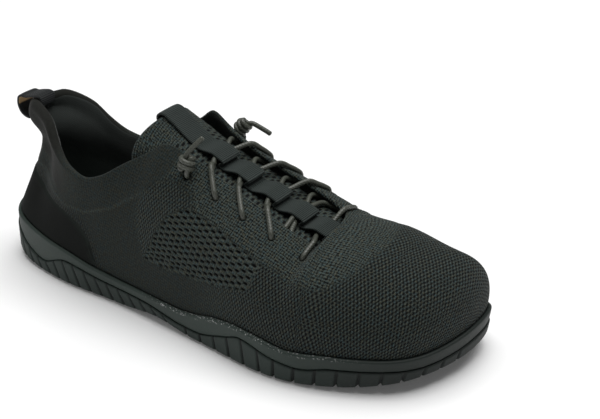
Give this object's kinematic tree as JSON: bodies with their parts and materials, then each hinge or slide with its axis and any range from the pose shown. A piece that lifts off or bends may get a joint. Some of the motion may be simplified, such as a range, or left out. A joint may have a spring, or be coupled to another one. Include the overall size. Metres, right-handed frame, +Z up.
{
  "type": "barefoot knit sneaker",
  "caption": "Low black knit lace-up barefoot sneaker for the right foot, with a wide toe, looped lace tape, padded heel and a thin ribbed wrap-around rubber sole.",
  "frame": {"origin": "on the floor plane, under the middle of the shoe's box", "axes": "+X to the toe, +Y to the inner, big-toe side, +Z up"},
  "size_m": [0.2892, 0.1039, 0.109],
  "materials": {
    "outsole_rubber": "satin ribbed rubber",
    "band_rubber": "smooth satin rubber",
    "footbed": "matt brushed cloth",
    "knit": "engineered knit",
    "tongue_knit": "ribbed knit",
    "counter_skin": "smooth suede-like film",
    "tape": "ribbed woven tape",
    "lace": "round braided lace"
  },
  "bodies": {
    "root": {"outsole": "outsole_rubber", "midsole": "band_rubber", "insole": "footbed", "upper": "knit", "tongue": "tongue_knit", "heel_counter": "counter_skin", "lace_webbing": "tape", "pull_loop": "tape", "lace_bar_1": "lace", "lace_bar_2": "lace", "lace_bar_3": "lace", "lace_bar_4": "lace", "lace_bar_5": "lace", "lace_knot_near": "lace", "lace_tail_near": "lace", "lace_knot_far": "lace", "lace_tail_far": "lace"}
  },
  "joints": []
}
